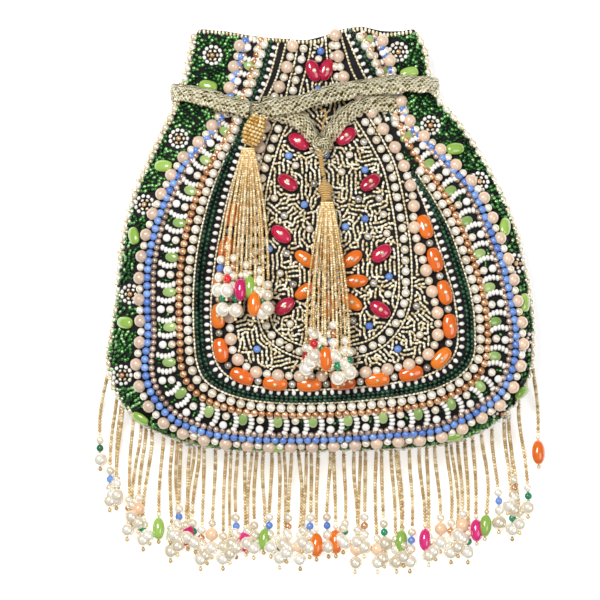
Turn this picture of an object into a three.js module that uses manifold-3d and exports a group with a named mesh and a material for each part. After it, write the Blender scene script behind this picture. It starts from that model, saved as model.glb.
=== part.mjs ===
// Potli bag: a beaded drawstring pouch with a bead fringe, lying on its back.
//
// Millimetres. +X is to the right as the beaded front is seen, +Y points to the mouth and +Z up,
// off the surface that the bag lies on. The origin is under the middle of the whole bag.
//
// A front panel and a back panel are sewn together along the sides and the bottom, a lining hangs
// inside them, and two flat braids draw the neck in. The outer braid runs round the neck and its
// two ends meet in a beaded cap. The inner braid runs in the channel between shell and lining,
// leaves it through two slits in the front, and ends in a knot. A tassel hangs from each, and
// strands of beads hang from the lower seam.
import * as THREE from "three";
import { ParametricGeometry } from "three/addons/geometries/ParametricGeometry.js";
import { mergeVertices } from "three/addons/utils/BufferGeometryUtils.js";
import Module from "manifold-3d";

const wasm = await Module();
wasm.setup();

// ---------------------------------------------------------------- driving dimensions
const BELLY = new THREE.Vector2(0, -10); // the pouch swells around this point
const SEAM_Z = 15; // height of the side seam over the surface
const BELLY_RISE = 30; // the front's height over the seam in the belly
const NECK_RISE = 15; // and in the neck
const NECK_LIFT = 4.2; // the back's height in the neck, where a braid runs under it
const SHOULDER = [20, 92]; // the belly falls to the neck between these distances along Y
const DOME_POWER = 2.4; // how full the pouch is: 2 is an ellipse, more is boxier
const BACK_FULLNESS = 1.35; // over 1, so that the back is truly flat where it rests
const PLEAT_DEPTH = 1.6; // of the gathers in the neck
const PLEAT_PITCH = 27;

const FRONT_THICK = 3.2; // cloth with its layer of beads
const BACK_THICK = 1.4;
const LINING_THICK = 1.2;
const CLEAR = 0.3; // gap between faces that touch
const LINING_GAP = 1.2; // between the shell and the lining in the belly
const CHANNEL_WIDTH = 9.6; // the inner braid's channel at the sides of the neck
const CHANNEL_DEPTH = 4.4; // and along its back

const BRAID_WIDTH = 8;
const BRAID_THICK = 2.4;
const BRAID_STEPS = 60;

const FRINGE_PITCH = 4.4;
const FRINGE_COUNT = 45;
const FRINGE_LONG = 62;
const FRINGE_SHORT = 54;
const FRINGE_FAN = 1.05; // the strands spread out as they fall
const FRINGE_CORNER = 86; // from here out, the slope of the seam staggers the ends
const SEED_R = 0.9; // a strand's seed beads
const DROP_R = 2.4; // the pearl at its end
const NEXT_R = 1.3; // the smaller beads over that pearl
const STRAND_SIDES = 6;

// ---------------------------------------------------------------- outline, seen from the front
const RIGHT_EDGE = [
  [0, -65.3], [32, -63.8], [55, -62], [73.6, -57.3], [87.4, -48], [95.7, -37], [98.4, -24.5],
  [97.2, -7], [94.3, 18], [89.2, 35], [82.8, 51.5], [75, 66.2], [65.8, 78.7], [57.5, 88.3],
  [52.4, 95.7], [49.2, 103], [48.3, 111.3], [47.8, 120], [42, 127],
];
const LEFT_EDGE = [
  [0, -65.3], [-32, -65.6], [-55, -63.4], [-74.5, -58], [-86.5, -50.2], [-95.2, -39.5],
  [-98.4, -24.5], [-97, -5], [-93, 19.3], [-87, 45.5], [-80.5, 64], [-73.6, 77.3], [-66.5, 90],
  [-63, 97.5], [-61.2, 105.3], [-60.7, 112.2], [-59.3, 119.5], [-55, 126],
];
const FRONT_MOUTH = [
  [42, 127], [30, 124.4], [19.3, 127], [6, 124.8], [0, 120.6], [-16, 121.2], [-30, 122.8],
  [-43.5, 125.4], [-55, 126],
];
const BACK_MOUTH = [[42, 127], [20, 127.2], [-6, 125], [-30, 125.4], [-55, 126]];

const SIDE_POINTS = 23;
const MOUTH_POINTS = 13;
const RINGS = 7;
const SPINE_TOP = new THREE.Vector2(-5, 104); // where the middle line of the pouch's mesh ends

const spline = (points) =>
  new THREE.CatmullRomCurve3(points.map(([x, y, z = 0]) => new THREE.Vector3(x, y, z)));
const rightEdge = spline(RIGHT_EDGE);
const leftEdge = spline(LEFT_EDGE);

const smoothstep = (low, high, value) => THREE.MathUtils.smoothstep(value, low, high);
const lerp = THREE.MathUtils.lerp;

// A point on an edge, moved towards the inside by inset: at the mouth's corners straight across.
function insetPoint(edge, t, inset, inwards) {
  const point = edge.getPointAt(t);
  const up = new THREE.Vector3(0, 1, 0);
  const along = edge.getTangentAt(t).lerp(up, smoothstep(96, 112, point.y));
  return new THREE.Vector2(point.x - inwards * along.y * inset, point.y + inwards * along.x * inset);
}

// The closed loop of a panel: up the right edge, across the mouth and down the left edge.
// It runs past the mouth by overrun.
function panelLoop(mouth, insetAt, overrun = 0) {
  const loop = [];
  const sidePoint = (edge, inwards, i) => {
    const t = i / SIDE_POINTS;
    return insetPoint(edge, t, insetAt(edge.getPointAt(t).y), inwards);
  };
  for (let i = 0; i <= SIDE_POINTS; i++) loop.push(sidePoint(rightEdge, 1, i));
  const right = loop.at(-1);
  const left = sidePoint(leftEdge, -1, SIDE_POINTS);
  right.y += overrun;
  left.y += overrun;
  const mouthEdge = spline(mouth);
  const [from, to] = [mouthEdge.getPointAt(0), mouthEdge.getPointAt(1)];
  for (let i = 1; i < MOUTH_POINTS; i++) {
    const point = mouthEdge.getPointAt(i / MOUTH_POINTS);
    const share = (point.x - from.x) / (to.x - from.x);
    const y = point.y + lerp(right.y - from.y, left.y - to.y, share);
    loop.push(new THREE.Vector2(lerp(right.x, left.x, share), y));
  }
  loop.push(left);
  for (let i = SIDE_POINTS - 1; i > 0; i--) loop.push(sidePoint(leftEdge, -1, i));
  return loop;
}

// ---------------------------------------------------------------- height of the pouch
const NECK_GOES_ON_TO = 400; // the neck's sides run on past the mouth, so that it stays open

// How far the swelling reaches from the belly, by direction, for an outline moved in by inset.
function reachTable(insetAt) {
  const points = [];
  const steps = 60;
  for (let i = 0; i <= steps; i++) {
    const y = rightEdge.getPointAt(i / steps).y;
    points.push(insetPoint(rightEdge, i / steps, insetAt(y), 1));
  }
  const right = points.at(-1);
  const left = insetPoint(leftEdge, 1, insetAt(leftEdge.getPointAt(1).y), -1);
  const higher = [145, 175, 220, 290, NECK_GOES_ON_TO];
  points.push(...higher.map((y) => new THREE.Vector2(right.x, y)));
  points.push(...higher.reverse().map((y) => new THREE.Vector2(left.x, y)));
  for (let i = steps; i > 0; i--) {
    const y = leftEdge.getPointAt(i / steps).y;
    points.push(insetPoint(leftEdge, i / steps, insetAt(y), -1));
  }
  const turn = 2 * Math.PI;
  return points
    .map((p) => p.clone().sub(BELLY))
    .map((p) => ({ angle: (p.angle() + turn / 4) % turn, reach: p.length() }))
    .sort((a, b) => a.angle - b.angle);
}

// 1 in the middle of the belly and 0 at the outline.
function swelling(x, y, table) {
  const p = new THREE.Vector2(x, y).sub(BELLY);
  const turn = 2 * Math.PI;
  const angle = (p.angle() + turn / 4) % turn;
  let high = table.findIndex((entry) => entry.angle >= angle);
  if (high < 0) high = 0;
  const a = table[(high + table.length - 1) % table.length];
  const b = table[high];
  const span = (b.angle - a.angle + turn) % turn || 1;
  const reach = lerp(a.reach, b.reach, ((angle - a.angle + turn) % turn) / span);
  const share = Math.min(1, p.length() / reach);
  return Math.sqrt(Math.max(0, 1 - share ** DOME_POWER));
}

const rise = (y) => lerp(BELLY_RISE, NECK_RISE, smoothstep(...SHOULDER, y));
const lift = (y) => NECK_LIFT * smoothstep(50, 82, y);
const pleat = (x, y) =>
  PLEAT_DEPTH * smoothstep(72, 108, y) * Math.cos((2 * Math.PI * (x + 6)) / PLEAT_PITCH);

// Heights of a front and a back face that lie inside the pouch's outside by dropAt(y).
function frontHeight(table, dropAt) {
  return (x, y) => {
    const full = swelling(x, y, table);
    return SEAM_Z + (rise(y) - dropAt(y)) * full + pleat(x, y) * full ** 2;
  };
}
function backHeight(table, dropAt) {
  return (x, y) => {
    const full = Math.min(1, BACK_FULLNESS * swelling(x, y, table));
    return SEAM_Z - (SEAM_Z - lift(y) - dropAt(y)) * full;
  };
}

const none = () => 0;
const outside = reachTable(none);
const frontTop = frontHeight(outside, none);

// The rows of a face spread from a spine, which runs from the belly up into the neck.
function spinePoint(index) {
  const fromTop = 2 * SIDE_POINTS + MOUTH_POINTS - index;
  const t = Math.min(index, fromTop, SIDE_POINTS) / SIDE_POINTS;
  const y = (rightEdge.getPointAt(t).y + leftEdge.getPointAt(t).y) / 2;
  const share = THREE.MathUtils.clamp((y - BELLY.y) / (SPINE_TOP.y - BELLY.y), 0, 1);
  return BELLY.clone().lerp(SPINE_TOP, share);
}

// A closed solid between an upper and a lower face, each with its own loop and height.
function closedSheet(upper, lower, gap = 0) {
  const count = upper.loop.length;
  const stacks = 2 * RINGS + 1;
  const face = (u, v, target) => {
    const stack = Math.round(v * stacks);
    const side = stack <= RINGS ? upper : lower;
    const ring = stack <= RINGS ? stack : stacks - stack;
    const share = Math.sin(((ring / RINGS) * Math.PI) / 2);
    const index = Math.round(u * count) % count;
    const { x, y } = spinePoint(index).lerp(side.loop[index], share);
    target.set(x, y, side.height(x, y) + gap);
  };
  return new ParametricGeometry((u, v, target) => face(1 - u, v, target), count, stacks);
}

// ---------------------------------------------------------------- solids and booleans
function toSolid(geometry) {
  const bare = geometry.clone();
  bare.deleteAttribute("normal");
  bare.deleteAttribute("uv");
  const merged = mergeVertices(bare, 1e-3);
  return new wasm.Manifold(
    new wasm.Mesh({
      numProp: 3,
      vertProperties: merged.attributes.position.array,
      triVerts: new Uint32Array(merged.index.array),
    }),
  );
}

function toGeometry(solid) {
  const mesh = solid.getMesh();
  return new THREE.BufferGeometry()
    .setAttribute("position", new THREE.BufferAttribute(mesh.vertProperties, 3))
    .setIndex(new THREE.BufferAttribute(mesh.triVerts, 1));
}

const cut = (geometry, ...tools) =>
  toGeometry(tools.reduce((solid, tool) => solid.subtract(toSolid(tool)), toSolid(geometry)));

// ---------------------------------------------------------------- braids
// An elliptical section drawn along a curve, with its width turned towards the Y axis.
function flatBraid(curve, width, thick) {
  const frames = curve.computeFrenetFrames(BRAID_STEPS, false);
  const across = new THREE.Vector3(0, 1, 0);
  const turned = Math.atan2(frames.binormals[0].dot(across), frames.normals[0].dot(across));
  const section = new THREE.Shape();
  const sides = 8;
  for (let i = 0; i < sides; i++) {
    const angle = ((i + 0.5) / sides) * 2 * Math.PI;
    const corner = new THREE.Vector2(
      (Math.cos(angle) * width) / 2,
      (Math.sin(angle) * thick) / 2,
    ).rotateAround(new THREE.Vector2(), turned);
    if (i === 0) section.moveTo(corner.x, corner.y);
    else section.lineTo(corner.x, corner.y);
  }
  section.closePath();
  return new THREE.ExtrudeGeometry(section, { steps: BRAID_STEPS, extrudePath: curve });
}

// The outer braid, from the cap over the front to the right, under the neck and back to the cap.
const OUTER_ROUTE = [
  [-25.6, 90.3, 34], [-14, 90.4, 34.9], [0, 94, 35.3], [14, 97.5, 34.4], [28, 99.6, 32.2],
  [41, 100.6, 28.6], [51.2, 100.2, 22.4], [54.9, 99.3, 15], [52, 98.6, 6.6], [43, 98, 2.7],
  [32, 98, 2.1], [0, 97, 2.1], [-42, 97, 2.1], [-53, 97, 2.6], [-62.6, 97, 5.6], [-67, 97, 11],
  [-67.1, 96.9, 16.4], [-62.8, 96.4, 24], [-54, 94.9, 28.8], [-43, 91.6, 31.8], [-31.4, 88.6, 34.8],
];

// The inner braid, from the knot out to the right slit, through the channel, and back to the knot.
const INNER_ROUTE = [
  [3.6, 75, 36.3], [8, 81, 33.6], [14, 87.5, 31.9], [23, 91.2, 30.6], [34, 91.6, 27],
  [40, 91, 22.4], [45.4, 90, 17.4], [48.2, 90, 14.6], [45.4, 90, 12.2], [39, 90, 10.3],
  [32, 90, 8.9], [24, 90, 8.5], [-34, 90, 8.5], [-44, 90, 9.3], [-52, 90, 10.6], [-57.2, 90, 12.2],
  [-59.3, 90, 14.6], [-57, 90, 17.2], [-51, 90, 20.6], [-44, 90, 25.4], [-37, 89.4, 29.2],
  [-28, 88.2, 30.9], [-18, 87.2, 31.1], [-8, 83, 33.6], [-2, 75, 37],
];

const innerRoute = spline(INNER_ROUTE);
const outerBraid = flatBraid(spline(OUTER_ROUTE), BRAID_WIDTH, BRAID_THICK);
const innerBraid = flatBraid(innerRoute, BRAID_WIDTH, BRAID_THICK);
const slitCutter = flatBraid(innerRoute, BRAID_WIDTH + 2 * CLEAR + 1, BRAID_THICK + 2 * CLEAR + 0.6);

// ---------------------------------------------------------------- pouch
const frontThick = () => FRONT_THICK;
const backThick = () => BACK_THICK;
const frontPanel = cut(
  closedSheet(
    { loop: panelLoop(FRONT_MOUTH, none), height: frontTop },
    {
      loop: panelLoop(FRONT_MOUTH, frontThick),
      height: frontHeight(reachTable(frontThick), frontThick),
    },
    CLEAR / 2,
  ),
  slitCutter,
);
const backPanel = closedSheet(
  {
    loop: panelLoop(BACK_MOUTH, backThick),
    height: backHeight(reachTable(backThick), backThick),
  },
  { loop: panelLoop(BACK_MOUTH, none), height: backHeight(outside, none) },
);

// The lining follows the shell, and stands off it where the inner braid runs.
const channel = (y) => smoothstep(58, 82, y);
function liningBody(extra, overrun) {
  const inset = (y) => FRONT_THICK + LINING_GAP + CHANNEL_WIDTH * channel(y) + extra;
  const table = reachTable(inset);
  const frontDrop = () => FRONT_THICK + LINING_GAP + extra;
  const backDrop = (y) => BACK_THICK + LINING_GAP + CHANNEL_DEPTH * channel(y) + extra;
  return closedSheet(
    { loop: panelLoop(FRONT_MOUTH, inset, overrun), height: frontHeight(table, frontDrop) },
    { loop: panelLoop(BACK_MOUTH, inset, overrun), height: backHeight(table, backDrop) },
  );
}
const lining = cut(liningBody(0, 0), liningBody(LINING_THICK, 3));

// ---------------------------------------------------------------- strings of beads
// A turned solid bent along a curve. Each row of the profile is [distance, half width, half depth],
// and the half width lies along the across direction.
function bentLathe(curve, profile, across, sides) {
  const turned = new THREE.LatheGeometry(
    profile.map(([along, half]) => new THREE.Vector2(half, along)),
    sides,
  );
  const depth = new Map(profile.map(([along, half, deep = half]) => [along.toFixed(3), half ? deep / half : 1]));
  const length = profile.at(-1)[0];
  const position = turned.attributes.position;
  for (let i = 0; i < position.count; i++) {
    const along = position.getY(i);
    const share = THREE.MathUtils.clamp(along / length, 0, 1);
    const tangent = curve.getTangentAt(share);
    const wide = across.clone().addScaledVector(tangent, -across.dot(tangent)).normalize();
    const deep = wide.clone().cross(tangent);
    const point = curve
      .getPointAt(share)
      .addScaledVector(wide, position.getX(i))
      .addScaledVector(deep, position.getZ(i) * depth.get(along.toFixed(3)));
    position.setXYZ(i, point.x, point.y, point.z);
  }
  return turned;
}

const ACROSS = new THREE.Vector3(1, 0, 0);

// A fringe strand's route: off the seam, down to the surface and on along it.
function fringeRoute(x, length) {
  const edge = x < 0 ? leftEdge : rightEdge;
  const lowest = 0.5; // share of the edge that surely holds its lower part
  let t = 0;
  while (t < lowest && Math.abs(edge.getPointAt(t).x) < Math.abs(x) && edge.getPointAt(t).y < -24.5) t += 0.002;
  const start = insetPoint(edge, t, -(SEED_R + 3 * CLEAR), x < 0 ? -1 : 1);
  const fall = [[0, SEAM_Z], [5, 13.6], [11, 9.6], [19, 4.6], [29, 2.2], [39, 2.2], [49, 3], [length, 3]];
  const spread = (along) => lerp(start.x, x * FRINGE_FAN, smoothstep(0, 30, along));
  return spline(fall.map(([along, z]) => [spread(along), start.y - along, z]));
}

function strandProfile(length) {
  const rows = [[0, 0], [0, SEED_R]];
  const drop = length - 19;
  for (let along = 10; along < drop - 4; along += 11) rows.push([along, SEED_R]);
  return [
    ...rows,
    [drop, SEED_R], [drop + 2.2, NEXT_R], [drop + 7.4, NEXT_R], [drop + 9.4, SEED_R],
    [drop + 12.4, DROP_R], [drop + 14.6, DROP_R], [drop + 17.4, SEED_R], [length, SEED_R], [length, 0],
  ];
}

// ---------------------------------------------------------------- tassels
// A tassel's route: points on the front, each raised to its own height over the beads.
const overFront = (points) => spline(points.map(([x, y, over]) => [x, y, frontTop(x, y) + over]));

const leftCapRoute = overFront([[-27.6, 83.8, 8.6], [-31.6, 72.8, 7.4]]);
const leftSkirtRoute = overFront([
  [-32, 71.6, 7.2], [-34.4, 58, 5.8], [-35.4, 40, 5.4], [-36, 22, 5.4], [-37, 4, 5.4], [-37.4, -8, 5.4],
]);
const rightLinkRoute = overFront([[0.8, 66.6, 4.8], [1.4, 62, 5], [2.2, 58, 5.2]]);
const rightHeadRoute = overFront([[2.4, 57.2, 5.2], [3.6, 47.4, 5.2]]);
const rightSkirtRoute = overFront([
  [3.7, 46.6, 5.2], [3.6, 30, 5.2], [3.2, 14, 5.2], [3, -4, 5.2], [3, -24, 5.2], [3, -39, 5.2],
]);

// Each piece that lifts has a round top end, so that it turns clear of the piece it hangs from.
const capProfile = [[0, 0], [0, 2.6], [2, 4.2], [6, 4.6], [10, 4], [11.6, 3.2], [11.6, 0]];
const linkProfile = [[0, 0], [0, 1], [4.4, 0.9], [8.7, 1], [8.7, 0]];
const headProfile = [
  [0, 0], [0.4, 0.9], [1.2, 1.2], [3.6, 1.3], [5.4, 3.2], [7.6, 3.4], [9.8, 2.4], [9.8, 0],
];
const skirtProfile = (length) => [
  [0, 0], [0.6, 1.6], [2.4, 2.4], [0.25 * length, 6.6, 2.6], [0.5 * length, 8.4, 2.6], [length - 26, 10, 2.6],
  [length - 21, 11.4, 3.4], [length - 8, 10.4, 3.4], [length - 2, 6, 2.4], [length, 2.4, 1], [length, 0],
];
const KNOT_R = 3.4;

// ---------------------------------------------------------------- materials
const finish = (color, roughness, metalness) => new THREE.MeshStandardMaterial({ color, roughness, metalness });
const beadwork = finish(0x2f4a2c, 0.35, 0.2);
const cloth = finish(0x17171a, 0.75, 0);
const satin = finish(0x5b5138, 0.5, 0);
const braid = finish(0xb3ab86, 0.35, 0.8);
const goldBeads = finish(0xd6b06a, 0.3, 0.6);
const goldThread = finish(0xc99a4e, 0.6, 0.2);

// ---------------------------------------------------------------- assembly
const bag = new THREE.Group();
function add(name, geometry, material) {
  const mesh = new THREE.Mesh(geometry, material);
  mesh.name = name;
  bag.add(mesh);
}

add("front_panel", frontPanel, beadwork);
add("back_panel", backPanel, cloth);
add("lining", lining, satin);
add("outer_drawstring", outerBraid, braid);
add("inner_drawstring", innerBraid, braid);
add("left_tassel_cap", bentLathe(leftCapRoute, capProfile, ACROSS, 12), goldBeads);
add("left_tassel_strands", bentLathe(leftSkirtRoute, skirtProfile(81), ACROSS, 12), goldBeads);
add("right_tassel_link", bentLathe(rightLinkRoute, linkProfile, ACROSS, 8), goldThread);
add("right_tassel_head", bentLathe(rightHeadRoute, headProfile, ACROSS, 12), goldThread);
add("right_tassel_strands", bentLathe(rightSkirtRoute, skirtProfile(86), ACROSS, 12), goldBeads);

const knot = new THREE.SphereGeometry(KNOT_R, 12, 8).scale(1.15, 1, 0.8);
knot.translate(0.8, 71, frontTop(0.8, 71) + KNOT_R + CLEAR);
add("inner_drawstring_knot", knot, braid);

for (let i = 0; i < FRINGE_COUNT; i++) {
  const x = (i - (FRINGE_COUNT - 1) / 2) * FRINGE_PITCH;
  const length = i % 2 || Math.abs(x) > FRINGE_CORNER ? FRINGE_LONG : FRINGE_SHORT;
  const strand = bentLathe(fringeRoute(x, length), strandProfile(length), ACROSS, STRAND_SIDES);
  add("fringe_strand_" + String(i + 1).padStart(2, "0"), strand, goldBeads);
}

// The origin is moved under the middle of the bag.
const box = new THREE.Box3().setFromObject(bag, true);
const middle = box.getCenter(new THREE.Vector3());
bag.position.set(-middle.x, -middle.y, -box.min.z);

export default bag;
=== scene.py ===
# %% [markdown]
# # A beaded potli bag
# A potli is a small drawstring pouch. This one is black cloth, closely sewn with beads on the front,
# with a bead fringe along its lower seam and two bead tassels on its drawstrings. It lies on its
# back. Several thousand beads make the look, so the plan is to describe the bands that they are
# sewn in, to walk along each band and set beads down at their real spacing, and to join all beads
# of one kind into one mesh, which keeps the scene light and gives each kind its own finish.

# %% Load the frame
import math
import bpy
import numpy as np
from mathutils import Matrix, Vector


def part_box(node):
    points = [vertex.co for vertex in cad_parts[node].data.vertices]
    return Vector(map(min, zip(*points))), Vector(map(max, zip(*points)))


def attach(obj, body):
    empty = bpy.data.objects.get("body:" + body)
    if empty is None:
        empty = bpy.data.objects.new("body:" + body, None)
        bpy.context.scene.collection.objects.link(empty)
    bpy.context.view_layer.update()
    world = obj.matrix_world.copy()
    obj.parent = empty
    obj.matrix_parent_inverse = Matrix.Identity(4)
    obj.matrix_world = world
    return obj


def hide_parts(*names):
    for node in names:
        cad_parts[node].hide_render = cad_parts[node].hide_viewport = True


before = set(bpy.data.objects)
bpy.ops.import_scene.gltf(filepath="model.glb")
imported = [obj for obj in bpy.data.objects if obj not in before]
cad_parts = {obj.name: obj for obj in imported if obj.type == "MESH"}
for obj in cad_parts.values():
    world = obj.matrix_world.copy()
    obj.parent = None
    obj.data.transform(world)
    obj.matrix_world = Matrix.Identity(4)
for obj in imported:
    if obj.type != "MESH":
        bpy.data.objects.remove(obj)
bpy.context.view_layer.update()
MM = 0.001
OUTLINE_LOW = -65.74  # lowest point of the pouch's outline, in its own millimetres
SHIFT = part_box("back_panel")[0].y / MM - OUTLINE_LOW  # from the pouch's own Y to the frame's
dice = np.random.default_rng(7)
print("frame shift along Y, mm:", round(SHIFT, 2))


def show(name, data):
    """Put a mesh, camera or lamp into the scene as an object."""
    made = bpy.data.objects.new(name, data)
    bpy.context.scene.collection.objects.link(made)
    return made


# %% [markdown]
# ## Curves
# Edges, braids and rows of beads are all smooth curves through a few points. A Catmull-Rom curve
# passes through every point it is given, so each point is a place that can be checked against the
# real bag. Resampling by length then gives even steps.

# %% Smooth curves
def through(points, per_span=16):
    """A smooth line through the points, with the same number of steps in each span."""
    p = np.array(points, float)
    p = np.vstack([2 * p[0] - p[1], p, 2 * p[-1] - p[-2]])
    spans = []
    t = np.linspace(0, 1, per_span, endpoint=False)[:, None]
    for a, b, c, d in zip(p, p[1:], p[2:], p[3:]):
        g0, g1, g2 = (max(np.linalg.norm(v), 1e-6) ** 0.5 for v in (b - a, c - b, d - c))
        m1 = ((b - a) / g0 - (c - a) / (g0 + g1) + (c - b) / g1) * g1
        m2 = ((c - b) / g1 - (d - b) / (g1 + g2) + (d - c) / g2) * g1
        hermite = (2 * t**3 - 3 * t**2 + 1) * b + (t**3 - 2 * t**2 + t) * m1
        spans.append(hermite + (3 * t**2 - 2 * t**3) * c + (t**3 - t**2) * m2)
    return np.vstack([*spans, p[-2][None]])


def lengths(line):
    return np.concatenate([[0], np.cumsum(np.linalg.norm(np.diff(line, axis=0), axis=1))])


def at_lengths(line, where, along=None):
    """Spots on a line, by length along it, or along another line with as many points."""
    along = lengths(line) if along is None else along
    return np.column_stack([np.interp(where, along, c) for c in line.T])


def evenly(line, count):
    return at_lengths(line, np.linspace(0, lengths(line)[-1], count))


def unit(v):
    return v / np.maximum(np.linalg.norm(v, axis=-1, keepdims=True), 1e-9)


def left_of(ways):
    """The directions at right angles to the left of flat directions."""
    return np.column_stack([-ways[:, 1], ways[:, 0]])


print("a quarter turn of +X:", left_of(np.array([[1.0, 0.0]]))[0])


# %% [markdown]
# ## Camera
# The bag is seen straight from above. A long lens from far away keeps the swelling of the pouch
# from looking bigger than its flat parts.

# %% The camera
CAMERA_HEIGHT = 2.4
VIEW_WIDTH = 0.276
VIEW_PLANE = 0.022  # the height at which the view is that wide
lens_data = bpy.data.cameras.new("camera")
lens_data.sensor_width = 36
lens_data.lens = 36 * (CAMERA_HEIGHT - VIEW_PLANE) / VIEW_WIDTH
lens_data.clip_end = 20
camera = show("camera", lens_data)
camera.location = (-0.0085, 0.0025, CAMERA_HEIGHT)
bpy.context.scene.camera = camera
print("lens, mm:", round(lens_data.lens))

# %% [markdown]
# ## Finishes
# A finish is a Principled shader with a few constant values, and a colour that varies. Writing the
# shader's arithmetic as plain Python expressions keeps each finish to a few readable lines, so a
# small class wraps a socket and turns +, - and * into Math nodes. A second class holds a node tree
# and adds any node to it, and a finish is such a tree with a Principled shader.

# %% Sockets as numbers
class Wire:
    def __init__(self, nodes, socket):
        self.nodes, self.socket = nodes, socket

    def math(self, operation, a, b):
        return self.nodes.math(operation, a, b)

    def __add__(self, other):
        return self.math("ADD", self, other)

    def __sub__(self, other):
        return self.math("SUBTRACT", self, other)

    def __rsub__(self, other):
        return self.math("SUBTRACT", other, self)

    def __mul__(self, other):
        return self.math("MULTIPLY", self, other)

    __radd__ = __add__
    __rmul__ = __mul__


# %% A node tree
class Nodes:
    """A node tree with one method that adds any node: its type, its settings, then its sockets."""

    def __init__(self, tree):
        self.tree = tree

    def node(self, kind, settings=None, sockets=None, out=0):
        made = self.tree.nodes.new(kind)
        for key, value in (settings or {}).items():
            if key == "stops":
                ramp = made.color_ramp
                while len(ramp.elements) < len(value):
                    ramp.elements.new(0.5)
                for element, (place, colour) in zip(ramp.elements, value):
                    element.position, element.color = place, (*colour, 1)
            else:
                setattr(made, key, value)
        for key, value in (sockets or {}).items():
            self.join(made.inputs[key], value)
        return Wire(self, made.outputs[out])

    def join(self, socket, value):
        if isinstance(value, Wire):
            self.tree.links.new(value.socket, socket)
        else:
            socket.default_value = value

    def math(self, operation, a, b=0.0):
        return self.node("ShaderNodeMath", {"operation": operation}, {0: a, 1: b})

    def ramp(self, factor, *stops):
        return self.node("ShaderNodeValToRGB", {"stops": stops}, {0: factor})


# %% A finish
class Finish(Nodes):
    """A material: a Principled shader with a few constants, and sockets driven by nodes."""

    def __init__(self, name, **constants):
        self.material = bpy.data.materials.new(name)
        self.material.use_nodes = True
        super().__init__(self.material.node_tree)
        self.shader = self.tree.nodes["Principled BSDF"]
        for socket, value in constants.items():
            self.shader.inputs[socket.replace("_", " ")].default_value = value

    def drive(self, socket, value):
        self.join(self.shader.inputs[socket], value)

    def stored(self, name):
        """A value that the mesh stores at each point."""
        return self.node("ShaderNodeAttribute", {"attribute_name": name}, out=2)

    def bump(self, height, strength, distance):
        made = {"Strength": strength, "Distance": distance, "Height": height}
        self.drive("Normal", self.node("ShaderNodeBump", None, made))


def linear(r, g, b):
    """A colour, given 0 to 255, as the linear light that shaders use."""
    return tuple(((c / 255 + 0.055) / 1.055) ** 2.4 if c > 10 else c / 3294 for c in (r, g, b))


# %% [markdown]
# ## Drawstrings
# The two drawstrings are flat tubes of champagne metallic mesh. The outer one runs round the neck
# and both its ends go into the left tassel's cap. The inner one goes through a channel in the neck
# and is knotted at the front. Their routes are the ones the solid model holds them on. Each is a
# flat tube swept along its route, with its width turned along the bag. The mesh itself is far
# finer than a model needs to hold, so it is colour and bump, worked out from two stored lengths:
# the way along the braid and the way round it. The colour also holds painted light: pale glints
# and dark shade in streaks along the strands.

# %% Routes of the two braids
OUTER_ROUTE = [
    (-25.6, 90.3, 34), (-14, 90.4, 34.9), (0, 94, 35.3), (14, 97.5, 34.4), (28, 99.6, 32.2),
    (41, 100.6, 28.6), (51.2, 100.2, 22.4), (54.9, 99.3, 15), (52, 98.6, 6.6), (43, 98, 2.7),
    (32, 98, 2.1), (0, 97, 2.1), (-42, 97, 2.1), (-53, 97, 2.6), (-62.6, 97, 5.6), (-67, 97, 11),
    (-67.1, 96.9, 16.4), (-62.8, 96.4, 24), (-54, 94.9, 28.8), (-43, 91.6, 31.8),
    (-31.4, 88.6, 34.8),
]
INNER_ROUTE = [
    (3.6, 75, 36.3), (8, 81, 33.6), (14, 87.5, 31.9), (23, 91.2, 30.6), (34, 91.6, 27),
    (40, 91, 22.4), (45.4, 90, 17.4), (48.2, 90, 14.6), (45.4, 90, 12.2), (39, 90, 10.3),
    (32, 90, 8.9), (24, 90, 8.5), (-34, 90, 8.5), (-44, 90, 9.3), (-52, 90, 10.6),
    (-57.2, 90, 12.2), (-59.3, 90, 14.6), (-57, 90, 17.2), (-51, 90, 20.6), (-44, 90, 25.4),
    (-37, 89.4, 29.2), (-28, 88.2, 30.9), (-18, 87.2, 31.1), (-8, 83, 33.6), (-2, 75, 37),
]
BRAID_WIDTH, BRAID_THICK = 8.0, 2.2


def to_frame(points):
    """From the pouch's own millimetres to the frame's metres."""
    return (np.asarray(points, float) + (0, SHIFT, 0)) * MM


# %% The braid's finish
# Painted light: the lightest colour is a painted glint and the darkest is painted shade, laid along
# the braid in streaks of noise.
BRAID_SHADE, BRAID_MIDDLE = linear(74, 62, 32), linear(214, 200, 150)
BRAID_GLINT = linear(255, 248, 218)
MESH_TURNS = 2.9  # radians of the mesh's crossing pattern to one millimetre
f = Finish("champagne_braid", Metallic=0.35, Roughness=0.22)
along, around = f.stored("along"), f.stored("around")
left = f.math("SINE", (along + around * 1.2) * MESH_TURNS)
right = f.math("SINE", (along - around * 1.2) * MESH_TURNS)
weave = f.math("MAXIMUM", left, right)
place = f.node("ShaderNodeCombineXYZ", None, {0: along * 0.32 + around * 0.5, 1: around * 0.95})
glint_streak = f.node("ShaderNodeTexNoise", None, {"Vector": place, "Scale": 1.0, "Detail": 2.5})
shade = weave * 0.12 + glint_streak * 1.5 - 0.25
f.drive("Base Color", f.ramp(shade, (0.32, BRAID_SHADE), (0.5, BRAID_MIDDLE), (0.66, BRAID_GLINT)))
f.bump(weave * 0.35 + glint_streak, 1.0, 0.0016)
braid_metal = f.material
print("braid finish:", braid_metal.name)


# %% Meshes and swept tubes
def new_mesh(name, vertices, faces, material):
    mesh = bpy.data.meshes.new(name)
    mesh.from_pydata(np.asarray(vertices).tolist(), [], faces)
    mesh.polygons.foreach_set("use_smooth", [True] * len(mesh.polygons))
    mesh.materials.append(material)
    return mesh


def new_object(name, vertices, faces, material, body):
    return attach(show(name, new_mesh(name, vertices, faces, material)), body)


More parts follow.
